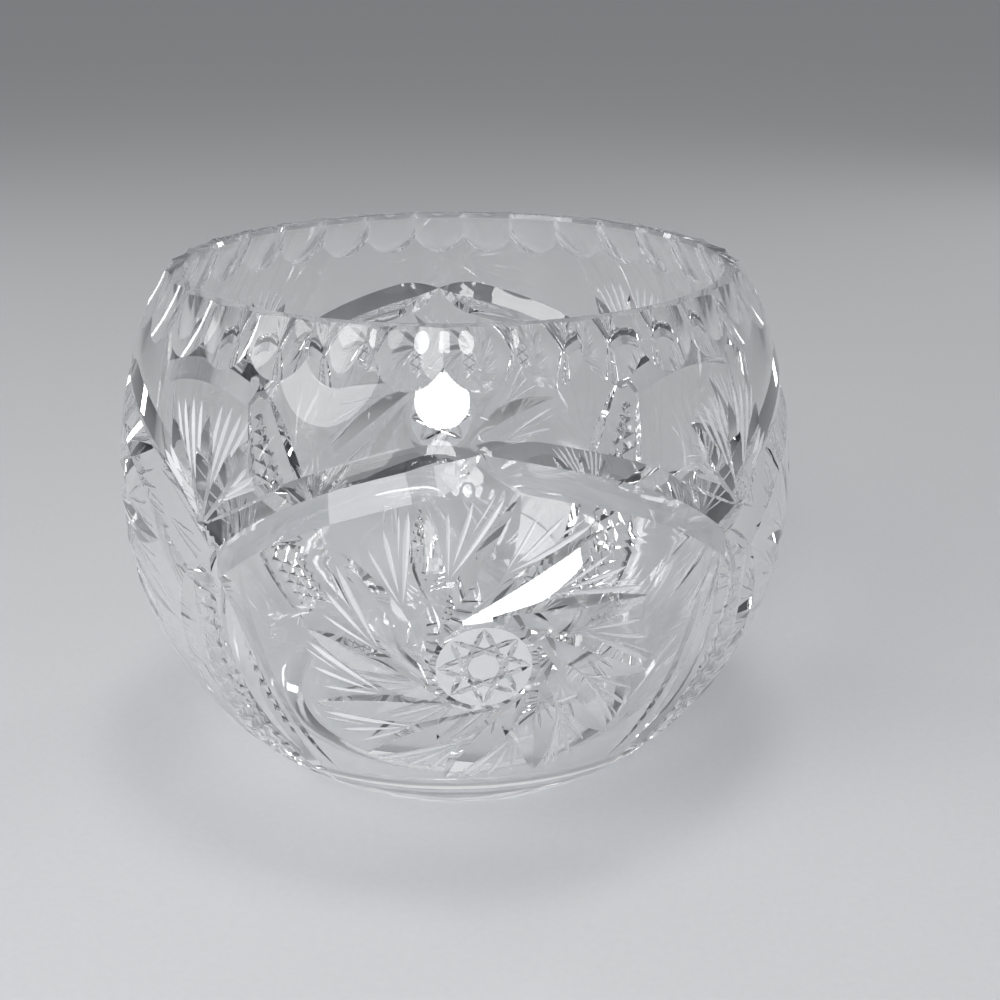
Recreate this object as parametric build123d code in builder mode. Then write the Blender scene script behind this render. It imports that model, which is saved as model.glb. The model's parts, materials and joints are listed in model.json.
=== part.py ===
from build123d import *
from math import acos, asin, atan, cos, degrees, pi, radians, sin, sqrt
import os

# Rose bowl: one piece of clear lead crystal. A round blank with a narrower open mouth
# stands on a flat base. The wheel cutter's pattern is ground into its outside.
# The origin is the middle of the base, +Z is up and the first arch points up over -Y.

# The blank, a ball below its widest line and flatter where its shoulder draws in to the mouth
bowl_radius = 90.0
bowl_height = 135.0
rim_inset = 14.5
base_radius = 48.0
wall = 8.0
rim_wall = 6.5
floor_thickness = 13.0
floor_corner_radius = 22.0
rim_bevel = 1.2
base_bevel = 1.0

# The blank's section is drawn in the plain ground between a pinwheel and a side cut
section_angle = 31.0

# The pattern repeats round the bowl, one pointed arch and one pinwheel to a repeat
repeats = 4

# Thumbprint flutes in a row round the rim
flutes = 32
flute_wheel_radius = 62.0
flute_face_radius = 26.0
flute_depth = 2.3
flute_width = 20.0

# Swag arches: two curved mitre cuts lean together at a point and cross at their feet.
# Their lower side is the broader one.
arch_top_share = 0.814
arch_foot_share = 0.6
arch_pass_across = 3.0
arch_pass_down = 4.5
arch_depth = 3.4
arch_width = 13.4
arch_lean_share = 0.14
arch_bow = 5.6

# Pinwheel: blades run off a round button at a tangent
pinwheel_share = 0.444
button_radius = 11.0
blades = 12
blade_root_radius = 13.5
blade_length = 40.0
blade_width = 9.2

# Fan of leaves that opens upward between the feet of two arches
fan_rise = 6.5
fan_leaves = 5
fan_spread = 29.0
fan_inner_radius = 3.0
fan_leaf_length = 24.0
fan_leaf_shortening = 0.5
fan_leaf_width = 6.2

# Long side cuts from the foot of an arch down to the base
side_cut_top_angle = 3.4
side_cut_bottom_angle = 10.5
side_cut_top_share = 0.57
side_cut_bottom_share = 0.067
side_cut_depth = 2.5
side_cut_width = 8.4
side_cut_bow = 1.5

# Star under the base
base_rays = 16
base_ray_inner_radius = 1.0
base_ring_width = 10.0
base_ray_depth = 1.9
base_ray_width = 7.0

# How far a grinding wheel stands out of the glass
overrun = 4.0


def arc_radius(width_change, height_change):
    """Radius of an arc that starts upright and draws in by a width over a height."""
    return (width_change**2 + height_change**2) / (2 * width_change)


rim_radius = bowl_radius - rim_inset
widest_height = sqrt(bowl_radius**2 - base_radius**2)
shoulder_radius = arc_radius(rim_inset, bowl_height - widest_height)
junction_angle = 360 / repeats / 2
arch_top_height = arch_top_share * bowl_height
arch_foot_height = arch_foot_share * bowl_height
pinwheel_height = pinwheel_share * bowl_height
side_cut_top_height = side_cut_top_share * bowl_height
side_cut_bottom_height = side_cut_bottom_share * bowl_height
button_depth = button_radius**2 / (2 * bowl_radius)
base_ray_outer_radius = base_radius - base_ring_width


def outline_radius(height):
    """Outer radius of the blank at a height."""
    arc = bowl_radius if height < widest_height else shoulder_radius
    return bowl_radius - arc + sqrt(arc**2 - (height - widest_height) ** 2)


def climb_at(height):
    """Length along the outside from the widest line up to a height."""
    arc = bowl_radius if height < widest_height else shoulder_radius
    return arc * asin((height - widest_height) / arc)


def height_at(climb):
    """Height of a point that lies so far along the outside from the widest line."""
    arc = bowl_radius if climb < 0 else shoulder_radius
    return widest_height + arc * sin(climb / arc)


def surface_point(angle, height):
    """Point on the outside. The angle turns to the right from the first arch's point."""
    turn = radians(angle)
    radius = outline_radius(height)
    return Vector(radius * sin(turn), -radius * cos(turn), height)


def surface_normal(angle, height):
    """Outward direction of the outside."""
    arc = bowl_radius if height < widest_height else shoulder_radius
    tilt = asin((height - widest_height) / arc)
    turn = radians(angle)
    return Vector(cos(tilt) * sin(turn), -cos(tilt) * cos(turn), sin(tilt))


def place(angle, height, across, along):
    """Angle and height of the point that lies across and along the outside from a place."""
    new_height = height_at(climb_at(height) + along)
    return angle + degrees(across / outline_radius(new_height)), new_height


def square_to(direction, run):
    """The part of a direction that stands square to a run."""
    return direction - run * direction.dot(run)


def vee(plane, depth, width, lean_share):
    """Sketch of a wheel's V section, so wide where it is so deep, point at the origin."""
    reach = depth + overrun
    upper = reach * width / depth / 2 * (1 - lean_share)
    lower = reach * width / depth / 2 * (1 + lean_share)
    with BuildSketch(plane) as section:
        with BuildLine():
            Polyline((0, 0), (upper, reach), (-lower, reach), close=True)
        make_face()
    return section.sketch


def straight_cut(start, end, width):
    """Mitre cut with a straight valley, from one angle and height to another."""
    first = surface_point(*start)
    last = surface_point(*end)
    middle = ((start[0] + end[0]) / 2, (start[1] + end[1]) / 2)
    crown = surface_point(*middle)
    run = (last - first).normalized()
    outward = square_to(surface_normal(*middle), run).normalized()
    bottom = (first + last) * 0.5
    depth = (crown - bottom).dot(outward)
    section = vee(Plane(origin=bottom, x_dir=outward.cross(run), z_dir=run), depth, width, 0)
    with BuildPart() as cut:
        extrude(section, amount=(last - first).length / 2 + overrun, both=True)
    return cut.part


def curved_cut(start, end, depth, width, bow, lean_share=0):
    """Mitre cut that follows an arc, so deep at its middle and bowed to its left."""
    first = surface_point(*start)
    last = surface_point(*end)
    run = (last - first).normalized()
    middle = (start[0] + end[0]) / 2, height_at((climb_at(start[1]) + climb_at(end[1])) / 2)
    outward = square_to(surface_normal(*middle), run).normalized()
    level = Vector(cos(radians(middle[0])), sin(radians(middle[0])), 0)
    leftward = outward.cross(run)
    across = bow * leftward.dot(level)
    along = bow * leftward.dot(surface_normal(*middle).cross(level))
    crown = surface_point(*place(*middle, across, along))
    return arc_cut(first, crown - outward * depth, last, outward, depth, width, lean_share)


def arc_cut(first, bottom, last, outward, depth, width, lean_share=0):
    """Mitre cut swept round the circle through its two ends and its deepest point."""
    chord_middle = (first + last) * 0.5
    half_length = (last - first).length / 2
    run = (last - first).normalized()
    drop = square_to(bottom - chord_middle, run)
    rise = drop.length
    radius = (half_length**2 + rise**2) / (2 * rise)
    centre = chord_middle - drop.normalized() * (radius - rise)
    across = square_to(outward, run).cross(run)
    plane = Plane(origin=chord_middle + drop, x_dir=across, z_dir=run)
    section = vee(plane, depth, width, lean_share)
    sweep_angle = 2 * degrees(asin(half_length / radius) + atan(overrun / radius))
    axis = Axis(centre, run.cross(drop))
    with BuildPart() as cut:
        revolve(section, axis=axis, revolution_arc=sweep_angle)
    return cut.part.rotate(axis, -sweep_angle / 2)


def arch_cuts():
    """The two legs of one pointed arch."""
    top = (0, arch_top_height)
    angle, height = place(junction_angle, arch_foot_height, arch_pass_across, -arch_pass_down)
    shape = (arch_depth, arch_width, arch_bow, arch_lean_share)
    return [curved_cut(top, (angle, height), *shape), curved_cut((-angle, height), top, *shape)]


def pinwheel_cuts():
    """The blades of one pinwheel, each a tangent to the circle round its button."""
    cuts = []
    for number in range(blades):
        turn = 2 * pi * number / blades + pi / 2
        root = (blade_root_radius * cos(turn), blade_root_radius * sin(turn))
        tip = (root[0] + blade_length * sin(turn), root[1] - blade_length * cos(turn))
        start = place(0, pinwheel_height, *root)
        end = place(0, pinwheel_height, *tip)
        cuts.append(straight_cut(start, end, blade_width))
    return cuts


def fan_cuts():
    """The leaves that open upward between the feet of two arches."""
    cuts = []
    foot = place(junction_angle, arch_foot_height, 0, fan_rise)
    for number in range(fan_leaves):
        step = number - (fan_leaves - 1) / 2
        turn = radians(90 + step * fan_spread)
        inner = fan_inner_radius
        outer = inner + fan_leaf_length - abs(step) * fan_leaf_shortening
        start = place(*foot, inner * cos(turn), inner * sin(turn))
        end = place(*foot, outer * cos(turn), outer * sin(turn))
        cuts.append(straight_cut(start, end, fan_leaf_width))
    return cuts


def side_cuts():
    """The two long cuts that part one pinwheel's ground from the next."""
    cuts = []
    for side in (-1, 1):
        top = (junction_angle + side * side_cut_top_angle, side_cut_top_height)
        bottom = (junction_angle + side * side_cut_bottom_angle, side_cut_bottom_height)
        cuts.append(curved_cut(top, bottom, side_cut_depth, side_cut_width, -side * side_cut_bow))
    return cuts


def button_cut():
    """Wheel face that grinds the round flat button."""
    crown = surface_point(0, pinwheel_height)
    outward = surface_normal(0, pinwheel_height)
    with BuildPart(Plane(origin=crown - outward * button_depth, z_dir=outward)) as cut:
        Cylinder(button_radius + overrun, overrun, align=(Align.CENTER, Align.CENTER, Align.MIN))
    return cut.part


def base_star_cuts():
    """Rays of the star under the base, deepest half way out."""
    cuts = []
    middle_radius = (base_ray_inner_radius + base_ray_outer_radius) / 2
    for number in range(base_rays):
        turn = 2 * pi * number / base_rays
        ray = Vector(cos(turn), sin(turn), 0)
        first = ray * base_ray_inner_radius
        last = ray * base_ray_outer_radius
        bottom = ray * middle_radius + Vector(0, 0, base_ray_depth)
        cuts.append(arc_cut(first, bottom, last, Vector(0, 0, -1), base_ray_depth, base_ray_width))
    return cuts


def flute_cut():
    """One flute: a broad round-faced wheel, deepest where it leaves the rim."""
    tilt = asin((bowl_height - widest_height) / shoulder_radius)
    outward = Vector(0, -cos(tilt), sin(tilt))
    bottom = Vector(0, -rim_radius, bowl_height) - outward * flute_depth
    half = flute_width / 2
    rise = flute_face_radius - sqrt(flute_face_radius**2 - half**2)
    with BuildSketch(Plane(origin=bottom, x_dir=(1, 0, 0), z_dir=(0, -sin(tilt), -cos(tilt)))) as face:
        with BuildLine():
            ThreePointArc((-half, rise), (0, 0), (half, rise))
            Polyline((half, rise), (half, rise + overrun), (-half, rise + overrun), (-half, rise))
        make_face()
    sweep_angle = 2 * degrees(acos(1 - (flute_depth + overrun) / flute_wheel_radius))
    axis = Axis(bottom + outward * flute_wheel_radius, (1, 0, 0))
    with BuildPart() as cut:
        revolve(face.sketch, axis=axis, revolution_arc=sweep_angle)
    return cut.part.rotate(axis, -sweep_angle / 2)


flute = flute_cut()

# The blank's inside: a ball with a round corner down to a flat thick floor
inner_radius = bowl_radius - wall
mouth_radius = rim_radius - rim_wall
corner_height = floor_thickness + floor_corner_radius
corner_reach = inner_radius - floor_corner_radius
corner_drop = widest_height - corner_height
floor_radius = sqrt(corner_reach**2 - corner_drop**2)
corner_share = inner_radius / corner_reach
corner_top = (floor_radius * corner_share, widest_height - corner_drop * corner_share)
section_direction = Vector(cos(radians(section_angle)), sin(radians(section_angle)), 0)
section_normal = section_direction.cross(Vector(0, 0, 1))
section_plane = Plane(origin=(0, 0, 0), x_dir=section_direction, z_dir=section_normal)

with BuildPart() as bowl:
    with BuildSketch(section_plane) as section:
        with BuildLine():
            Polyline((0, floor_thickness), (0, 0), (base_radius, 0))
            TangentArc((bowl_radius, widest_height), (base_radius, 0), tangent=(0, -1))
            TangentArc((bowl_radius, widest_height), (rim_radius, bowl_height), tangent=(0, 1))
            Line((rim_radius, bowl_height), (mouth_radius, bowl_height))
            TangentArc((inner_radius, widest_height), (mouth_radius, bowl_height), tangent=(0, 1))
            TangentArc((inner_radius, widest_height), corner_top, tangent=(0, -1))
            TangentArc((floor_radius, floor_thickness), corner_top, tangent=(1, 0))
            Line((floor_radius, floor_thickness), (0, floor_thickness))
        make_face()
        chamfer(section.vertices().group_by(Axis.Y)[-1], rim_bevel)
        chamfer(section.vertices().group_by(Axis.Y)[0].sort_by(Axis.X)[-1], base_bevel)
    revolve(axis=Axis.Z)

    # Star under the base
    for ray in base_star_cuts():
        add(ray, mode=Mode.SUBTRACT)

    # Thumbprint flutes round the rim
    with PolarLocations(0, flutes):
        add(flute, mode=Mode.SUBTRACT)

    # The pattern, one kind of cut after another, each all the way round
    for cuts in (arch_cuts(), side_cuts(), fan_cuts(), pinwheel_cuts(), [button_cut()]):
        with PolarLocations(0, repeats):
            add(cuts, mode=Mode.SUBTRACT)

bowl.part.label = "bowl"
os.makedirs("parts", exist_ok=True)
export_step(bowl.part, "parts/bowl.step")
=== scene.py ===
"""Cut crystal rose bowl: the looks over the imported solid.

The bowl is one piece of polished lead crystal. The script turns its blank on a
lathe, grinds the whole pattern into it with V-faced and round-faced wheels, as
the cutter does, and stands it on a plain pale studio sweep. Sizes are in
millimetres and become metres when a mesh is made. +Z is up and -Y is the front.
"""

import json
import logging
import math
from collections.abc import Iterator, Sequence
from dataclasses import dataclass, field, replace
from enum import Enum

import bmesh
import bpy
import numpy as np
from mathutils import Matrix, Vector

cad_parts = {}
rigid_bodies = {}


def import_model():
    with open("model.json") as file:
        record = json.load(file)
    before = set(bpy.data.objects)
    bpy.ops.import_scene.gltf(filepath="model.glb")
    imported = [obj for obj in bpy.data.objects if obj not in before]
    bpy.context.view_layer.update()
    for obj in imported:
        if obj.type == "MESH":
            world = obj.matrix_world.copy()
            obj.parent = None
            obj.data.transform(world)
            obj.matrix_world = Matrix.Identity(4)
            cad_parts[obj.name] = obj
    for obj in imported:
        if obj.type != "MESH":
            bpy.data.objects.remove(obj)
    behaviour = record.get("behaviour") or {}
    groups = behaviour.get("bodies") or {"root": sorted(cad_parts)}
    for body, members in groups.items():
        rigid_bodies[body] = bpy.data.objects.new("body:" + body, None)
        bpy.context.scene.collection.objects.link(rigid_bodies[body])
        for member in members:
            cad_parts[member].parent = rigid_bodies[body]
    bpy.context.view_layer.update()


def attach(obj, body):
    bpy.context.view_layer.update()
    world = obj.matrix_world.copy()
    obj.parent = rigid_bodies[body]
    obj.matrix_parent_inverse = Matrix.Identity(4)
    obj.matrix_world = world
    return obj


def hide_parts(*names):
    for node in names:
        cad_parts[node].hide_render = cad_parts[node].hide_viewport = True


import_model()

MM = 0.001
LOG = logging.getLogger("rose_bowl")
BOWL_HEIGHT = 135.0

# Degrees to the right of the front, and height above the base
Place = tuple[float, float]
# Point on the glass with the outward direction there
Footing = tuple[Vector, Vector]
# Corners of one section of a groove
Ring = list[Vector]


class Ground(Enum):
    """What last touched a face of the glass. The value is its slot while the mesh is cut."""

    BLANK = 0
    POLISHED = 1
    SATIN = 2


def linear(hex_colour: str) -> tuple[float, float, float, float]:
    """Turns an sRGB colour into the linear one that shaders take.

    Args:
        hex_colour: Six hex digits, such as "F4F6F8".

    Returns:
        Linear red, green and blue, and an alpha of 1.
    """
    parts = [int(hex_colour[i : i + 2], 16) / 255 for i in (0, 2, 4)]
    red, green, blue = (c / 12.92 if c <= 0.04045 else ((c + 0.055) / 1.055) ** 2.4 for c in parts)
    return red, green, blue, 1.0


def add_node(
    tree: bpy.types.NodeTree,
    kind: str,
    settings: dict[str | int, object] | None = None,
    **links: bpy.types.NodeSocket,
) -> bpy.types.Node:
    """Adds one node with its settings and links.

    Args:
        tree: The node tree that gets it.
        kind: The node's type name.
        settings: Values by name, of the node itself or of its input sockets, which may
            go by number too.
        **links: Output sockets by the name of the input they go to, with _ for a space,
            or by n and its number.

    Returns:
        The new node.
    """
    node = tree.nodes.new(kind)
    for name, value in (settings or {}).items():
        if isinstance(name, int) or name in node.inputs:
            node.inputs[name].default_value = value
        else:
            setattr(node, name, value)
    for name, output in links.items():
        goal = int(name[1:]) if name[1:].isdigit() else name.replace("_", " ")
        tree.links.new(output, node.inputs[goal])
    return node


@dataclass(frozen=True)
class BowlForm:
    """Outline of the blank: a ball below its widest line and a flatter shoulder above it.

    Attributes:
        radius: Radius at the widest line.
        height: Height from the base to the rim.
        rim_inset: How far the shoulder draws in up to the rim.
        base_radius: Radius of the base.
        wall: Thickness of the wall.
        rim_wall: Thickness of the rim.
        floor: Thickness of the floor.
        floor_corner: Radius of the round corner between the wall and the floor inside.
        rim_bevel: Width of the bevels on the rim.
        base_bevel: Width of the bevel round the base.
        flat_rings: Rings of faces on the flat of the base and of the floor.
    """

    radius: float = 90.0
    height: float = BOWL_HEIGHT
    rim_inset: float = 14.5
    base_radius: float = 48.0
    wall: float = 8.0
    rim_wall: float = 6.5
    floor: float = 13.0
    floor_corner: float = 22.0
    rim_bevel: float = 1.2
    base_bevel: float = 1.0
    flat_rings: int = 12

    @property
    def widest(self) -> float:
        """Height of the widest line."""
        return math.sqrt(self.radius**2 - self.base_radius**2)

    @property
    def rim_radius(self) -> float:
        """Outer radius at the rim."""
        return self.radius - self.rim_inset

    def shoulder(self, inset: float) -> float:
        """Radius of the arc that draws in by an inset from the widest line to the rim."""
        rise = self.height - self.widest
        return (inset**2 + rise**2) / (2 * inset)

    def arc(self, above: bool) -> float:
        """Radius of the outside's meridian arc, above or below the widest line."""
        return self.shoulder(self.rim_inset) if above else self.radius

    def radius_at(self, height: float) -> float:
        """Outer radius at a height."""
        arc = self.arc(height > self.widest)
        return self.radius - arc + math.sqrt(arc**2 - (height - self.widest) ** 2)

    def climb_at(self, height: float) -> float:
        """Length along the outside from the widest line up to a height."""
        arc = self.arc(height > self.widest)
        return arc * math.asin((height - self.widest) / arc)

    def height_at(self, climb: float) -> float:
        """Height of the point that lies so far along the outside."""
        arc = self.arc(climb > 0)
        return self.widest + arc * math.sin(climb / arc)

    def point(self, angle: float, height: float) -> Vector:
        """Point on the outside, so many degrees to the right of the front."""
        return self._level(angle) * self.radius_at(height) + Vector((0, 0, height))

    def normal(self, angle: float, height: float) -> Vector:
        """Outward direction of the outside."""
        tilt = math.asin((height - self.widest) / self.arc(height > self.widest))
        return self._level(angle) * math.cos(tilt) + Vector((0, 0, math.sin(tilt)))

    @staticmethod
    def _level(angle: float) -> Vector:
        """Level direction away from the axis."""
        turn = math.radians(angle)
        return Vector((math.sin(turn), -math.cos(turn), 0))

    def place(self, angle: float, height: float, across: float, along: float) -> Place:
        """Place that lies across and along the outside from another.

        Args:
            angle: Degrees to the right of the front.
            height: Height above the base.
            across: Millimetres to the right.
            along: Millimetres up along the outside.

        Returns:
            The new angle and height.
        """
        new_height = self.height_at(self.climb_at(height) + along)
        return angle + math.degrees(across / self.radius_at(new_height)), new_height

    def track(
        self, start: Place, end: Place, count: int, bow: float = 0.0, bow_place: float = 0.5
    ) -> list[Footing]:
        """Points over the outside from one place to another.

        Args:
            start: Angle and height of the first.
            end: Angle and height of the last.
            count: How many there are.
            bow: How far the run bends to its left.
            bow_place: Share of the run at which it bends furthest.

        Returns:
            Each point with the outward direction there.
        """
        low, high = self.climb_at(start[1]), self.climb_at(end[1])
        width = math.radians(end[0] - start[0]) * self.radius_at((start[1] + end[1]) / 2)
        left = Vector((low - high, width)).normalized() * bow
        track = []
        for k in range(count):
            share = k / (count - 1)
            warped = share ** (math.log(0.5) / math.log(bow_place))
            swing = 4 * warped * (1 - warped)
            height = self.height_at(low + (high - low) * share + left.y * swing)
            angle = start[0] + (end[0] - start[0]) * share
            angle += math.degrees(left.x * swing / self.radius_at(height))
            track.append((self.point(angle, height), self.normal(angle, height)))
        return track

    def profile(self, step: float) -> list[tuple[float, float]]:
        """Section of the blank from the middle of its base round to the middle of its floor.

        Args:
            step: Longest stretch between points on a curve.

        Returns:
            Radius and height of each point.
        """
        base = self.base_radius
        flat = self.flat_rings
        points = [(0.0, 0.0)]
        points += [(base * k / flat, 0.0) for k in range(1, flat)]
        points.append((base - self.base_bevel, 0.0))
        first = self.height_at(self.climb_at(0.0) + self.base_bevel)
        points += self._arc(0.0, self.widest, self.radius, first, self.widest, step)
        outer = self.shoulder(self.rim_inset)
        top = self.height - self.rim_bevel
        points += self._arc(self.radius - outer, self.widest, outer, self.widest, top, step)[1:]
        points.append((self.rim_radius - self.rim_bevel, self.height))
        mouth = self.rim_radius - self.rim_wall
        points.append((mouth + self.rim_bevel, self.height))
        inner = self.radius - self.wall
        inset = inner - mouth
        inside = self.shoulder(inset)
        points += self._arc(inner - inside, self.widest, inside, top, self.widest, step)
        reach = inner - self.floor_corner
        drop = self.widest - self.floor - self.floor_corner
        floor_radius = math.sqrt(reach**2 - drop**2)
        touch = self.widest - drop * inner / reach
        points += self._arc(0.0, self.widest, inner, self.widest, touch, step)[1:]
        corner = self.floor + self.floor_corner
        points += self._arc(floor_radius, corner, self.floor_corner, touch, self.floor, step)[1:]
        points += [(floor_radius * k / flat, self.floor) for k in range(flat - 1, 0, -1)]
        points.append((0.0, self.floor))
        return points

    @staticmethod
    def _arc(
        centre: float, middle: float, arc: float, start: float, end: float, step: float
    ) -> list[tuple[float, float]]:
        """Points on an arc from one height to another.

        Args:
            centre: Radius at which the arc's centre lies.
            middle: Height of the arc's centre.
            arc: The arc's own radius.
            start: Height of the first point.
            end: Height of the last point.
            step: Longest stretch between points.

        Returns:
            Radius and height of each point.
        """
        first = math.asin(max(-1.0, (start - middle) / arc))
        last = math.asin(max(-1.0, (end - middle) / arc))
        count = max(2, math.ceil(abs(last - first) * arc / step))
        turns = [first + (last - first) * k / count for k in range(count + 1)]
        return [(centre + arc * math.cos(t), middle + arc * math.sin(t)) for t in turns]


@dataclass(frozen=True)
class Cut:
    """One groove and how many times it goes round the bowl."""

    rings: list[Ring]
    times: int
    ground: Ground = Ground.POLISHED

    def mesh(self, name: str, slots: Sequence[bpy.types.Material]) -> bpy.types.Mesh:
        """Closed solid of what the wheel takes away, at each of its repeats.

        Args:
            name: Name of the mesh.
            slots: The material slots that the blank has too.

        Returns:
            The mesh, in metres.
        """
        shape = bmesh.new()
        for number in range(self.times):
            turn = Matrix.Rotation(math.tau * number / self.times, 3, "Z")
            rows = [[shape.verts.new(turn @ corner * MM) for corner in ring] for ring in self.rings]
            size = len(rows[0])
            for row, after in zip(rows, rows[1:]):
                for i in range(size):
                    j = (i + 1) % size
                    shape.faces.new((row[i], row[j], after[j], after[i]))
            shape.faces.new(rows[0][::-1])
            shape.faces.new(rows[-1])
        if shape.calc_volume(signed=True) < 0:
            bmesh.ops.reverse_faces(shape, faces=shape.faces)
        for face in shape.faces:
            face.material_index = self.ground.value
        mesh = bpy.data.meshes.new(name)
        shape.to_mesh(mesh)
        shape.free()
        for slot in slots:
            mesh.materials.append(slot)
        return mesh


@dataclass(frozen=True)
class Mitre:
    """Groove of a V-faced wheel that rides over the glass, goes in and comes out again.

    Attributes:
        depth: Depth where it is deepest.
        left: Width there from the valley to the left edge.
        right: Width there from the valley to the right edge.
        rise: Share of the run over which the wheel goes in.
        fall: Share of the run over which it comes out.
        ground: The finish it leaves.
        overrun: How far the wheel stands out of the glass.
        lift: How far its ends clear the glass.
    """

    depth: float
    left: float
    right: float
    rise: float = 0.5
    fall: float = 0.5
    ground: Ground = Ground.POLISHED
    overrun: float = 1.5
    lift: float = 0.03

    def sink(self, share: float) -> float:
        """Depth at a share of the run."""
        into = max(0.0, 1 - share / self.rise)
        out = max(0.0, 1 - (1 - share) / self.fall)
        return self.depth * (1 - into**2 - out**2) - self.lift

    def along(self, track: Sequence[Footing], times: int) -> Cut:
        """Runs the wheel along a track.

        Args:
            track: Points on the glass with the outward direction at each.
            times: How many times the groove goes round the bowl.

        Returns:
            The groove.
        """
        rings = []
        last = len(track) - 1
        for k, (point, outward) in enumerate(track):
            run = track[min(k + 1, last)][0] - track[max(k - 1, 0)][0]
            across = outward.cross(run).normalized()
            sunk = self.sink(k / last)
            reach = sunk + self.overrun
            top = point + outward * self.overrun
            left, right = (across * width / self.depth * reach for width in (self.left, self.right))
            rings.append([point - outward * sunk, top + left, top - right])
        return Cut(rings, times, self.ground)


@dataclass(frozen=True)
class RimFlutes:
    """Row of thumbprint flutes, ground by a broad wheel with a round face."""

    form: BowlForm
    count: int = 32
    wheel_radius: float = 62.0
    face_radius: float = 26.0
    depth: float = 2.3
    width: float = 20.0
    overrun: float = 4.0
    face_steps: int = 20
    sweep_steps: int = 32

    def cuts(self) -> Iterator[Cut]:
        """Every other flute, and then the ones between them.

        Yields:
            The cuts.
        """
        form = self.form
        tilt = math.asin((form.height - form.widest) / form.arc(True))
        outward = Vector((0, -math.cos(tilt), math.sin(tilt)))
        bottom = Vector((0, -form.rim_radius, form.height)) - outward * self.depth
        half = self.width / 2
        bend = math.asin(half / self.face_radius)
        section = []
        for k in range(self.face_steps + 1):
            turn = bend * (2 * k / self.face_steps - 1)
            rise = self.face_radius * (1 - math.cos(turn))
            across = Vector((self.face_radius * math.sin(turn), 0, 0))
            section.append(bottom + across + outward * rise)
        top = self.face_radius * (1 - math.cos(bend)) + self.overrun
        section += [bottom + Vector((side * half, 0, 0)) + outward * top for side in (1, -1)]
        centre = bottom + outward * self.wheel_radius
        reach = math.acos(1 - (self.depth + self.overrun) / self.wheel_radius)
        rings = []
        for k in range(self.sweep_steps + 1):
            turn = Matrix.Rotation(reach * (2 * k / self.sweep_steps - 1), 3, "X")
            rings.append([centre + turn @ (corner - centre) for corner in section])
        step = math.tau / self.count
        for start in (0, 1):
            turn = Matrix.Rotation(step * start, 3, "Z")
            yield Cut([[turn @ corner for corner in ring] for ring in rings], self.count // 2)


@dataclass(frozen=True)
class SwagArches:
    """Pointed arches: bowed mitre cuts that lean together over each pinwheel.

    Attributes:
        form: The blank that they are cut in.
        past_across: How far each leg runs past the next one, across.
        past_down: How far it runs past it, down.
    """

    form: BowlForm
    repeats: int = 4
    top: float = 0.814 * BOWL_HEIGHT
    foot: float = 0.6 * BOWL_HEIGHT
    past_across: float = 2.0
    past_down: float = 3.2
    bow: float = 5.8
    bow_place: float = 0.55
    leg: Mitre = Mitre(3.4, 5.2, 7.3, rise=0.17, fall=0.05)
    sections: int = 41

    def cuts(self) -> Iterator[Cut]:
        """The right leg and the left one, both from the point down.

        Yields:
            The cuts.
        """
        end = self.form.place(180 / self.repeats, self.foot, self.past_across, -self.past_down)
        for side in (1, -1):
            foot = (side * end[0], end[1])
            bow = side * self.bow
            track = self.form.track((0, self.top), foot, self.sections, bow, self.bow_place)
            leg = self.leg
            if side < 0:
                leg = replace(leg, left=leg.right, right=leg.left)
            yield leg.along(track, self.repeats)


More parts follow.
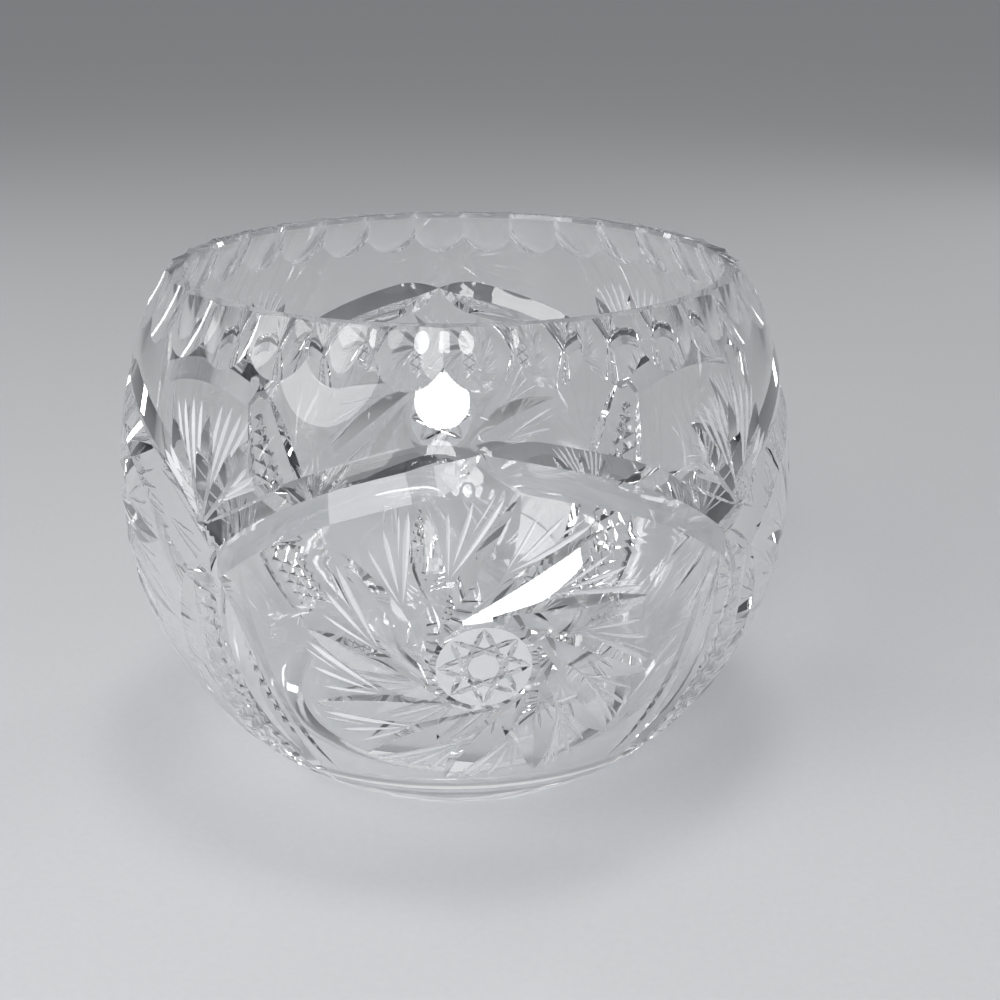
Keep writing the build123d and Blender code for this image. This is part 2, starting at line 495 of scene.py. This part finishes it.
@dataclass(frozen=True)
class Pinwheels:
    """Blades that run off a round button, with fine rays beside each and a star on the button.

    Attributes:
        form: The blank that they are cut in.
        button: Radius of the button.
        root: Radius of the circle that the blades run off.
        first_blade: Where the first blade's root stands on that circle, in degrees.
        rays: For each ray beside a blade: where it starts to the right of the blade and
            along it, its turn from the blade in degrees, its length and its width.
        button_clear: How far the wheel that flattens the button stands out of the glass.
        star_skip: How many points of the star each of its lines goes on.
        star_margin: How far the star's points stay inside the button's edge.
    """

    form: BowlForm
    repeats: int = 4
    height: float = 0.444 * BOWL_HEIGHT
    button: float = 11.0
    blades: int = 12
    first_blade: float = 90.0
    root: float = 13.5
    length: float = 40.0
    bow: float = -0.9
    blade: Mitre = Mitre(2.4, 4.4, 4.9, rise=0.5, fall=0.5)
    rays: tuple[tuple[float, float, float, float, float], ...] = (
        (5.6, 23.0, -1.0, 15.0, 0.9),
        (6.6, 25.5, -18.0, 15.5, 1.2),
        (6.0, 23.0, -34.5, 22.0, 1.5),
        (10.6, 32.5, -32.0, 11.0, 0.55),
    )
    star_points: int = 8
    star_skip: int = 3
    star_line: Mitre = Mitre(0.5, 0.75, 0.75, rise=0.06, fall=0.06, overrun=0.6)
    star_margin: float = 0.2
    button_clear: float = 4.0
    button_corners: int = 48
    blade_sections: int = 15
    ray_sections: int = 9

    def cuts(self) -> Iterator[Cut]:
        """Blades, rays, the flat of the button and its star.

        Yields:
            The cuts.
        """
        for number in range(self.blades):
            yield from self._blade(self.first_blade + 360 * number / self.blades)
        yield from self._button()

    def _at(self, spot: Vector) -> Place:
        """Place of a spot that is measured from the button's middle."""
        return self.form.place(0, self.height, spot.x, spot.y)

    def _blade(self, angle: float) -> Iterator[Cut]:
        """One blade and the rays to the right of it.

        Args:
            angle: Where its root stands on the circle round the button, in degrees.

        Yields:
            The cuts.
        """
        turn = math.radians(angle)
        run = Vector((math.sin(turn), -math.cos(turn)))
        right = Vector((run.y, -run.x))
        root = Vector((math.cos(turn), math.sin(turn))) * self.root
        tip = root + run * self.length
        track = self.form.track(self._at(root), self._at(tip), self.blade_sections, self.bow)
        yield self.blade.along(track, self.repeats)
        for offset, start, lean, length, width in self.rays:
            bend = math.radians(lean)
            spot = root + run * start + right * offset
            way = run * math.cos(bend) - right * math.sin(bend)
            end = self._at(spot + way * length)
            track = self.form.track(self._at(spot), end, self.ray_sections)
            yield fine_ray(width).along(track, self.repeats)

    def _button(self) -> Iterator[Cut]:
        """The flat of the button and the lines of its star.

        Yields:
            The cuts.
        """
        form = self.form
        outward = form.normal(0, self.height)
        level = Vector((1, 0, 0))
        upward = outward.cross(level)
        sink = self.button**2 / (2 * form.radius)
        middle = form.point(0, self.height) - outward * sink
        outer = self.button + self.button_clear
        turns = [math.tau * k / self.button_corners for k in range(self.button_corners)]
        lower = [middle + (level * math.cos(t) + upward * math.sin(t)) * outer for t in turns]
        upper = [corner + outward * self.button_clear for corner in lower]
        yield Cut([lower, upper], self.repeats, Ground.SATIN)
        reach = self.button - self.star_margin
        tips = [math.tau * k / self.star_points + math.pi / 2 for k in range(self.star_points)]
        points = [middle + (level * math.cos(t) + upward * math.sin(t)) * reach for t in tips]
        steps = self.ray_sections - 1
        for k, first in enumerate(points):
            last = points[(k + self.star_skip) % self.star_points]
            track = [(first.lerp(last, n / steps), outward) for n in range(steps + 1)]
            yield self.star_line.along(track, self.repeats)


def fine_ray(width: float) -> Mitre:
    """Fine matt ray that swells towards its tip.

    Args:
        width: Its width where it is widest.

    Returns:
        The groove.
    """
    return Mitre(
        depth=width * 0.4,
        left=width / 2,
        right=width / 2,
        rise=0.72,
        fall=0.28,
        ground=Ground.SATIN,
        overrun=0.8,
    )


@dataclass(frozen=True)
class FoliageFans:
    """Leaves and fine rays that open upward between the feet of two arches.

    Attributes:
        form: The blank that they are cut in.
        leaves: For each leaf, its angle from upright in degrees and where it ends.
        rays: The same for each fine ray, with where it starts and its width.
        shell_foot: Where the small shell beside the fan starts, across and up from the foot
            of the arches.
        shell: Where each of its rays ends, in the same way.
        bead_top: How far the first bead lies below the fan's foot.
        bead_spread: How far apart the beads lie, as a share of an even row.
        bead_reach: Half the length of a bead, across and up.
    """

    form: BowlForm
    repeats: int = 4
    height: float = 0.6 * BOWL_HEIGHT
    rise: float = 6.5
    inner: float = 2.0
    leaf: Mitre = Mitre(1.5, 3.1, 3.1, rise=0.55, fall=0.45)
    leaves: tuple[tuple[float, float], ...] = (
        (-60, 28.0),
        (-31, 26.5),
        (0, 25.5),
        (31, 26.5),
        (60, 28.0),
    )
    rays: tuple[tuple[float, float, float, float], ...] = (
        (7.0, 9.0, 29.0, 1.3),
        (13.0, 9.0, 29.5, 1.4),
        (19.5, 9.0, 29.5, 1.4),
        (25.0, 12.0, 29.5, 1.1),
        (67.0, 10.0, 26.5, 1.3),
        (73.5, 9.0, 24.0, 1.2),
    )
    shell_foot: tuple[float, float] = (5.0, 13.0)
    shell: tuple[tuple[float, float], ...] = (
        (8.2, 22.6),
        (11.0, 23.0),
        (13.6, 22.4),
        (15.8, 20.8),
        (17.2, 18.6),
    )
    shell_width: float = 1.7
    beads: int = 4
    bead: Mitre = Mitre(0.8, 1.5, 1.5)
    bead_top: float = 1.0
    bead_spread: float = 1.1
    bead_reach: tuple[float, float] = (2.4, 0.9)
    leaf_sections: int = 11
    ray_sections: int = 9
    bead_sections: int = 7

    def cuts(self) -> Iterator[Cut]:
        """Leaves, then the rays and shells on both sides, then the beads down to the foot.

        Yields:
            The cuts.
        """
        for angle, outer in self.leaves:
            yield self._spoke(angle, self.inner, outer, self.leaf, self.leaf_sections)
        for angle, inner, outer, width in self.rays:
            for side in (-1, 1):
                yield self._spoke(side * angle, inner, outer, fine_ray(width), self.ray_sections)
        form = self.form
        middle = 180 / self.repeats
        across, up = self.shell_foot
        for tip in self.shell:
            for side in (-1, 1):
                start = form.place(middle, self.height, side * across, up)
                end = form.place(middle, self.height, side * tip[0], tip[1])
                track = form.track(start, end, self.ray_sections)
                yield fine_ray(self.shell_width).along(track, self.repeats)
        across, slant = self.bead_reach
        for number in range(self.beads):
            up = self.rise - self.bead_top - number * self.rise / self.beads * self.bead_spread
            start = form.place(middle, self.height, -across, up + slant)
            end = form.place(middle, self.height, across, up - slant)
            yield self.bead.along(form.track(start, end, self.bead_sections), self.repeats)

    def _spoke(self, angle: float, inner: float, outer: float, mitre: Mitre, count: int) -> Cut:
        """One cut that points away from the fan's foot.

        Args:
            angle: Degrees from upright.
            inner: Where it starts.
            outer: Where it ends.
            mitre: The groove.
            count: Number of sections.

        Returns:
            The cut.
        """
        turn = math.radians(angle)
        form = self.form
        foot = form.place(180 / self.repeats, self.height, 0, self.rise)
        start = form.place(*foot, inner * math.sin(turn), inner * math.cos(turn))
        end = form.place(*foot, outer * math.sin(turn), outer * math.cos(turn))
        return mitre.along(form.track(start, end, count), self.repeats)


@dataclass(frozen=True)
class SidePanels:
    """Two long side cuts from the foot of an arch to the base, with step cuts between them.

    Attributes:
        form: The blank that they are cut in.
        top_angle: Degrees from the middle of the panel to each side cut, at its top.
        bottom_angle: The same at its bottom.
        step_slope: How far a step falls for each millimetre that it goes across.
        narrowest: Half the width of the first step.
        widest: Half the width that no step goes over.
        widening: How much that half grows from the top to the bottom.
    """

    form: BowlForm
    repeats: int = 4
    top_angle: float = 2.4
    bottom_angle: float = 10.5
    top: float = 0.58 * BOWL_HEIGHT
    bottom: float = 0.067 * BOWL_HEIGHT
    bow: float = 2.0
    bow_place: float = 0.45
    cut: Mitre = Mitre(2.6, 4.4, 4.4, rise=0.3, fall=0.6)
    steps: int = 13
    step: Mitre = Mitre(1.1, 2.0, 2.0, rise=0.4, fall=0.4)
    step_slope: float = 0.8
    step_top: float = 72.0
    step_bottom: float = 13.0
    narrowest: float = 1.6
    widest: float = 7.2
    widening: float = 12.0
    cut_sections: int = 33
    step_sections: int = 7

    def cuts(self) -> Iterator[Cut]:
        """The side cuts, then the crossed steps between them.

        Yields:
            The cuts.
        """
        middle = 180 / self.repeats
        form = self.form
        for side in (-1, 1):
            top = (middle + side * self.top_angle, self.top)
            bottom = (middle + side * self.bottom_angle, self.bottom)
            track = form.track(top, bottom, self.cut_sections, side * self.bow, self.bow_place)
            yield self.cut.along(track, self.repeats)
        high, low = form.climb_at(self.step_top), form.climb_at(self.step_bottom)
        for number in range(self.steps):
            share = (number + 0.5) / self.steps
            height = form.height_at(high + (low - high) * share)
            half = min(self.widest, self.narrowest + share * self.widening)
            for side in (-1, 1):
                start = form.place(middle, height, -side * half, -half * self.step_slope)
                end = form.place(middle, height, side * half, half * self.step_slope)
                yield self.step.along(form.track(start, end, self.step_sections), self.repeats)


@dataclass(frozen=True)
class BaseStar:
    """Star under the base, each ray deepest half way out."""

    form: BowlForm
    rays: int = 16
    inner: float = 1.0
    ring: float = 10.0
    ray: Mitre = Mitre(1.9, 3.5, 3.5)
    sections: int = 15

    def cuts(self) -> Iterator[Cut]:
        """Each ray, once.

        Yields:
            The cuts.
        """
        reach = self.form.base_radius - self.ring - self.inner
        steps = self.sections - 1
        down = Vector((0, 0, -1))
        for number in range(self.rays):
            turn = math.tau * number / self.rays
            spoke = Vector((math.cos(turn), math.sin(turn), 0))
            track = [(spoke * (self.inner + reach * k / steps), down) for k in range(steps + 1)]
            yield self.ray.along(track, 1)


@dataclass(frozen=True)
class CutLeadCrystal:
    """Lead crystal, wheel cut and polished.

    Clear and heavy, with a high refractive index. Its facets flash white against
    dark and bend what lies behind them, and its polish leaves the faintest waves.

    Attributes:
        name: The material's name.
        tint: Colour of the glass.
        shadow: Colour of its shadow, which is paler than a solid thing's.
        ior: Refractive index of lead crystal.
        wave_size: Width of the waves that the polishing leaves.
        wave_height: Their height.
        haze_size: Width of the patches of faint haze.
        haze: Roughness where it is clear, and in the haze.
        reflections: Light that has been reflected so often inside goes straight out,
            because a renderer gives up on it soon after and would leave black facets.
    """

    name: str = "lead_crystal_wheel_cut_polished"
    tint: str = "FDFDFD"
    shadow: str = "CCCED1"
    ior: float = 1.545
    wave_size: float = 14.0
    wave_height: float = 0.02
    haze_size: float = 3.0
    haze: tuple[float, float] = (0.0, 0.03)
    reflections: int = 3

    def material(self) -> bpy.types.Material:
        """Builds the glass with faint polishing waves and haze.

        Returns:
            The material.
        """
        made = bpy.data.materials.new(self.name)
        made.use_nodes = True
        tree = made.node_tree
        tree.nodes.clear()
        where = add_node(tree, "ShaderNodeTexCoord").outputs["Object"]
        waves = add_node(
            tree,
            "ShaderNodeTexNoise",
            {"Scale": 1 / (self.wave_size * MM), "Detail": 1.0},
            Vector=where,
        )
        bump = add_node(
            tree,
            "ShaderNodeBump",
            {"Strength": 1.0, "Distance": self.wave_height * MM},
            Height=waves.outputs["Fac"],
        )
        fine = add_node(
            tree,
            "ShaderNodeTexNoise",
            {"Scale": 1 / (self.haze_size * MM), "Detail": 3.0},
            Vector=where,
        )
        haze = add_node(
            tree,
            "ShaderNodeMapRange",
            {"From Min": 0.35, "From Max": 0.75, "To Min": self.haze[0], "To Max": self.haze[1]},
            Value=fine.outputs["Fac"],
        )
        glass = add_node(
            tree,
            "ShaderNodeBsdfPrincipled",
            {"Base Color": linear(self.tint), "IOR": self.ior, "Transmission Weight": 1.0},
            Roughness=haze.outputs["Result"],
            Normal=bump.outputs["Normal"],
        )
        ray = add_node(tree, "ShaderNodeLightPath")
        spent = add_node(
            tree,
            "ShaderNodeMath",
            {"operation": "GREATER_THAN", 1: self.reflections - 0.5},
            Value=ray.outputs["Glossy Depth"],
        )
        out = add_node(tree, "ShaderNodeBsdfTransparent")
        faces = {"n1": glass.outputs["BSDF"], "n2": out.outputs["BSDF"]}
        seen = add_node(tree, "ShaderNodeMixShader", Fac=spent.outputs["Value"], **faces)
        shade = add_node(tree, "ShaderNodeBsdfTransparent", {"Color": linear(self.shadow)})
        faces = {"n1": seen.outputs["Shader"], "n2": shade.outputs["BSDF"]}
        skin = add_node(tree, "ShaderNodeMixShader", Fac=ray.outputs["Is Shadow Ray"], **faces)
        add_node(tree, "ShaderNodeOutputMaterial", Surface=skin.outputs["Shader"])
        return made


@dataclass(frozen=True)
class SatinCrystal:
    """Fine cuts that are left matt, as the stone ground them.

    Their skin is a mass of tiny pits, so they scatter light white and let only some through.
    Real pits are about 0.05 mm, and are drawn ten times as coarse to show at all.
    """

    name: str = "lead_crystal_stone_ground_satin"
    tint: str = "F3F4F6"
    ior: float = 1.545
    through: float = 0.45
    pit_size: float = 0.5
    roughness: tuple[float, float] = (0.38, 0.6)

    def material(self) -> bpy.types.Material:
        """Builds the matt skin with its uneven pits.

        Returns:
            The material.
        """
        made = bpy.data.materials.new(self.name)
        made.use_nodes = True
        tree = made.node_tree
        tree.nodes.clear()
        where = add_node(tree, "ShaderNodeTexCoord").outputs["Object"]
        pits = add_node(
            tree,
            "ShaderNodeTexNoise",
            {"Scale": 1 / (self.pit_size * MM), "Detail": 2.0},
            Vector=where,
        )
        rough = add_node(
            tree,
            "ShaderNodeMapRange",
            {"From Min": 0.3, "From Max": 0.7, "To Min": self.roughness[0], "To Max": self.roughness[1]},
            Value=pits.outputs["Fac"],
        )
        skin = add_node(
            tree,
            "ShaderNodeBsdfPrincipled",
            {"Base Color": linear(self.tint), "IOR": self.ior, "Transmission Weight": self.through},
            Roughness=rough.outputs["Result"],
        )
        add_node(tree, "ShaderNodeOutputMaterial", Surface=skin.outputs["BSDF"])
        return made


@dataclass(frozen=True)
class SweepPaper:
    """Studio sweep of matt paper, with the faintest fibre in it."""

    name: str = "matt_sweep_paper"
    light: str = "C9CACB"
    dark: str = "C2C3C5"
    fibre_size: float = 2.0
    roughness: float = 0.85
    specular: float = 0.2

    def material(self) -> bpy.types.Material:
        """Builds the paper.

        Returns:
            The material.
        """
        made = bpy.data.materials.new(self.name)
        made.use_nodes = True
        tree = made.node_tree
        paper = tree.nodes["Principled BSDF"]
        paper.inputs["Roughness"].default_value = self.roughness
        paper.inputs["Specular IOR Level"].default_value = self.specular
        where = add_node(tree, "ShaderNodeTexCoord").outputs["Object"]
        fibre = add_node(
            tree,
            "ShaderNodeTexNoise",
            {"Scale": 1 / (self.fibre_size * MM), "Detail": 4.0},
            Vector=where,
        )
        ramp = add_node(tree, "ShaderNodeValToRGB", Fac=fibre.outputs["Fac"])
        ramp.color_ramp.elements[0].color = linear(self.dark)
        ramp.color_ramp.elements[1].color = linear(self.light)
        tree.links.new(ramp.outputs["Color"], paper.inputs["Base Color"])
        return made


@dataclass
class CrystalBowl:
    """The bowl: its blank, every cut and the finish.

    Attributes:
        form: Outline of the blank.
        finish: The polished glass.
        satin: The glass of the fine cuts and the buttons.
        round_step: Longest stretch between rings of the blank.
        segments: Corners of each ring.
        crease: Degrees between two faces from which the edge is crisp.
        round_match: Degrees within which a face counts as one of the blank's rounds.
    """

    form: BowlForm = field(default_factory=BowlForm)
    finish: CutLeadCrystal = field(default_factory=CutLeadCrystal)
    satin: SatinCrystal = field(default_factory=SatinCrystal)
    round_step: float = 1.6
    segments: int = 368
    crease: float = 7.0
    round_match: float = 2.5

    def build(self) -> bpy.types.Object:
        """Turns the blank, cuts the pattern and dresses the glass.

        Returns:
            The bowl, ready to ride.
        """
        crystal, satin = self.finish.material(), self.satin.material()
        slots = [crystal, bpy.data.materials.new("polished_cut"), satin]
        blank = self._blank(slots)
        bowl = bpy.data.objects.new("crystal_bowl", blank)
        bpy.context.scene.collection.objects.link(bowl)
        tools = bpy.data.collections.new("wheel_tools")
        bpy.context.scene.collection.children.link(tools)
        for number, cut in enumerate(self._pattern()):
            tool = bpy.data.objects.new(f"tool_{number}", cut.mesh(f"tool_{number}", slots))
            tools.objects.link(tool)
        grind = bowl.modifiers.new("grind", "BOOLEAN")
        grind.operation = "DIFFERENCE"
        grind.solver = "MANIFOLD"
        grind.operand_type = "COLLECTION"
        grind.collection = tools
        grind.material_mode = "TRANSFER"
        ready = bpy.context.evaluated_depsgraph_get()
        cut_mesh = bpy.data.meshes.new_from_object(bowl.evaluated_get(ready))
        bowl.modifiers.clear()
        bowl.data = cut_mesh
        for tool in list(tools.objects):
            bpy.data.meshes.remove(tool.data)
        bpy.data.collections.remove(tools)
        self._polish(cut_mesh)
        # Clearing the slots sets every face back to the first, so their finish is noted first
        matt = [int(face.material_index == Ground.SATIN.value) for face in cut_mesh.polygons]
        cut_mesh.materials.clear()
        for finish in (crystal, satin):
            cut_mesh.materials.append(finish)
        cut_mesh.polygons.foreach_set("material_index", matt)
        bpy.data.materials.remove(slots[1])
        return bowl

    def _pattern(self) -> Iterator[Cut]:
        """Every cut, from the rim down to the base.

        Yields:
            The cuts.
        """
        for group in (
            RimFlutes(self.form),
            SwagArches(self.form),
            FoliageFans(self.form),
            SidePanels(self.form),
            Pinwheels(self.form),
            BaseStar(self.form),
        ):
            cuts = list(group.cuts())
            LOG.info("%s: %d cuts", type(group).__name__, len(cuts))
            yield from cuts

    def _blank(self, slots: Sequence[bpy.types.Material]) -> bpy.types.Mesh:
        """Turns the section round the axis into one closed mesh.

        Args:
            slots: Material slots of the mesh.

        Returns:
            The blank, in metres.
        """
        profile = self.form.profile(self.round_step)
        shape = bmesh.new()
        rings = []
        for radius, height in profile:
            if radius == 0:
                rings.append([shape.verts.new((0, 0, height * MM))])
                continue
            turns = [math.tau * k / self.segments for k in range(self.segments)]
            rings.append(
                [
                    shape.verts.new((radius * math.cos(t) * MM, radius * math.sin(t) * MM, height * MM))
                    for t in turns
                ]
            )
        for ring, after in zip(rings, rings[1:]):
            for k in range(self.segments):
                n = (k + 1) % self.segments
                if len(ring) == 1:
                    shape.faces.new((ring[0], after[n], after[k]))
                elif len(after) == 1:
                    shape.faces.new((ring[k], ring[n], after[0]))
                else:
                    shape.faces.new((ring[k], ring[n], after[n], after[k]))
        if shape.calc_volume(signed=True) < 0:
            bmesh.ops.reverse_faces(shape, faces=shape.faces)
        mesh = bpy.data.meshes.new("crystal_bowl")
        shape.to_mesh(mesh)
        shape.free()
        for slot in slots:
            mesh.materials.append(slot)
        return mesh

    def _polish(self, mesh: bpy.types.Mesh) -> None:
        """Shades the blank's round surfaces as true rounds and keeps every cut edge crisp.

        Args:
            mesh: The cut mesh.
        """
        mesh.shade_smooth()
        mesh.set_sharp_from_angle(angle=math.radians(self.crease))
        corners = len(mesh.loops)
        normals = np.empty(corners * 3, np.float32)
        mesh.corner_normals.foreach_get("vector", normals)
        normals = normals.reshape(-1, 3)
        places = np.empty(len(mesh.vertices) * 3, np.float32)
        mesh.vertices.foreach_get("co", places)
        which = np.empty(corners, np.int32)
        mesh.loops.foreach_get("vertex_index", which)
        points = places.reshape(-1, 3)[which] / MM
        slots = np.empty(len(mesh.polygons), np.int32)
        mesh.polygons.foreach_get("material_index", slots)
        sizes = np.empty(len(mesh.polygons), np.int32)
        mesh.polygons.foreach_get("loop_total", sizes)
        flat = np.empty(len(mesh.polygons) * 3, np.float32)
        mesh.polygons.foreach_get("normal", flat)
        facing = np.repeat(flat.reshape(-1, 3), sizes, axis=0)
        blank = np.repeat(slots == Ground.BLANK.value, sizes)
        across = np.hypot(points[:, 0], points[:, 1])
        least = math.cos(math.radians(self.round_match))
        # Each corner of an uncut face takes the direction of the round that the face lies on
        for centre, middle, sign in self._rounds():
            level = (across - centre) / np.maximum(across, 1e-6)
            ideal = np.stack([points[:, 0] * level, points[:, 1] * level, points[:, 2] - middle], -1)
            ideal *= sign / np.linalg.norm(ideal, axis=1, keepdims=True)
            close = blank & ((ideal * facing).sum(1) > least)
            normals[close] = ideal[close]
        mesh.normals_split_custom_set(normals.tolist())

    def _rounds(self) -> list[tuple[float, float, int]]:
        """Finds the round surfaces of the blank.

        Returns:
            Centre radius and centre height of each, and 1 if it faces out or -1 if it faces in.
        """
        form = self.form
        inner = form.radius - form.wall
        inside = form.shoulder(inner - form.rim_radius + form.rim_wall)
        reach = inner - form.floor_corner
        drop = form.widest - form.floor - form.floor_corner
        return [
            (0.0, form.widest, 1),
            (form.radius - form.arc(True), form.widest, 1),
            (inner - inside, form.widest, -1),
            (0.0, form.widest, -1),
            (math.sqrt(reach**2 - drop**2), form.floor + form.floor_corner, -1),
        ]


class LampFace(Enum):
    """Outline of a lamp's face. The value is the lamp setting that gives it."""

    ROUND = "ELLIPSE"
    STRIP = "RECTANGLE"


@dataclass(frozen=True)
class Softbox:
    """One soft lamp that looks at the bowl, with its place and size in metres."""

    name: str
    place: tuple[float, float, float]
    size: tuple[float, float]
    power: float
    face: LampFace = LampFace.ROUND

    def build(self, target: Vector) -> bpy.types.Object:
        """Makes the lamp and turns it to a target.

        Args:
            target: The point that it looks at.

        Returns:
            The lamp.
        """
        lamp = bpy.data.lights.new(self.name, "AREA")
        lamp.shape = self.face.value
        lamp.size, lamp.size_y = self.size
        lamp.energy = self.power
        made = bpy.data.objects.new(self.name, lamp)
        made.visible_camera = False
        made.location = self.place
        made.rotation_euler = (target - Vector(self.place)).to_track_quat("-Z", "Y").to_euler()
        bpy.context.scene.collection.objects.link(made)
        return made


@dataclass
class Studio:
    """Pale floor, soft lamps, grey room and the camera.

    Attributes:
        paper: The sweep's paper.
        lamps: Every lamp.
        lamp_target: The point in metres that they look at.
        walls: Colours of the room, by the sine of how high one looks.
        floor_radius: Radius of the sweep in metres.
        floor_corners: Corners of its edge.
        floor_gap: How far in metres it stays below the base.
        lens: The camera's focal length.
        sensor: Width of its sensor.
        camera_place: Where it stands.
        camera_target: What it looks at.
    """

    paper: SweepPaper = field(default_factory=SweepPaper)
    lamps: tuple[Softbox, ...] = (
        Softbox("key_softbox", (-1.0, -0.8, 0.9), (1.0, 1.0), 9.5),
        Softbox("front_softbox", (-0.09, -0.62, 0.37), (0.2, 0.15), 1.7),
        Softbox("right_strip", (0.8, 0.7, 0.6), (0.08, 0.65), 1.4, LampFace.STRIP),
        Softbox("left_strip", (-0.85, 0.6, 0.6), (0.08, 0.65), 1.3, LampFace.STRIP),
        Softbox("top_softbox", (0.05, -0.07, 1.1), (0.26, 0.26), 2.2),
    )
    lamp_target: tuple[float, float, float] = (0.0, 0.0, 0.07)
    walls: tuple[tuple[float, str], ...] = (
        (0.0, "86888B"),
        (0.25, "3B3D40"),
        (0.62, "27282B"),
        (0.76, "CACBCD"),
        (1.0, "DDDEDF"),
    )
    floor_radius: float = 14.0
    floor_corners: int = 96
    floor_gap: float = 0.0002
    lens: float = 53.84
    sensor: float = 36.0
    camera_place: tuple[float, float, float] = (-24.86, -389.09, 213.7)
    camera_target: tuple[float, float, float] = (11.82, -1.12, 67.51)

    def build(self) -> None:
        """Makes the floor, the room, the lamps and the camera."""
        self._floor()
        self._room()
        for lamp in self.lamps:
            lamp.build(Vector(self.lamp_target))
        self._camera()

    def _floor(self) -> None:
        """Lays the sweep: a broad round sheet of paper."""
        shape = bmesh.new()
        bmesh.ops.create_circle(
            shape, cap_ends=True, segments=self.floor_corners, radius=self.floor_radius
        )
        mesh = bpy.data.meshes.new("studio_floor")
        shape.to_mesh(mesh)
        shape.free()
        mesh.materials.append(self.paper.material())
        floor = bpy.data.objects.new("studio_floor", mesh)
        floor.location.z = -self.floor_gap
        bpy.context.scene.collection.objects.link(floor)

    def _room(self) -> None:
        """Surrounds the floor with grey walls that darken upward, under a pale ceiling."""
        world = bpy.data.worlds.new("studio_room")
        bpy.context.scene.world = world
        world.use_nodes = True
        tree = world.node_tree
        tree.nodes.clear()
        way = add_node(tree, "ShaderNodeTexCoord").outputs["Generated"]
        split = add_node(tree, "ShaderNodeSeparateXYZ", Vector=way)
        ramp = add_node(tree, "ShaderNodeValToRGB", Fac=split.outputs["Z"])
        steps = ramp.color_ramp.elements
        for step, (share, colour) in ((steps[0], self.walls[0]), (steps[1], self.walls[-1])):
            step.position, step.color = share, linear(colour)
        for share, colour in self.walls[1:-1]:
            steps.new(share).color = linear(colour)
        light = add_node(tree, "ShaderNodeBackground", {"Strength": 1.0}, Color=ramp.outputs["Color"])
        add_node(tree, "ShaderNodeOutputWorld", Surface=light.outputs["Background"])

    def _camera(self) -> None:
        """Sets the camera where the photograph was taken from."""
        data = bpy.data.cameras.new("photo_camera")
        data.lens = self.lens
        data.sensor_width = self.sensor
        data.clip_start = 0.01
        made = bpy.data.objects.new("photo_camera", data)
        place, target = Vector(self.camera_place) * MM, Vector(self.camera_target) * MM
        made.location = place
        made.rotation_euler = (target - place).to_track_quat("-Z", "Y").to_euler()
        bpy.context.scene.collection.objects.link(made)
        bpy.context.scene.camera = made


def main() -> None:
    """Builds the studio and the bowl in order and reports each piece."""
    logging.basicConfig(level=logging.INFO, format="%(name)s: %(message)s")
    bpy.context.scene.view_settings.view_transform = "Standard"
    Studio().build()
    LOG.info("studio ready")
    bowl = CrystalBowl().build()
    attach(bowl, "root")
    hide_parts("bowl")
    LOG.info("%s ready, %d vertices", bowl.name, len(bowl.data.vertices))


if __name__ == "__main__":
    main()
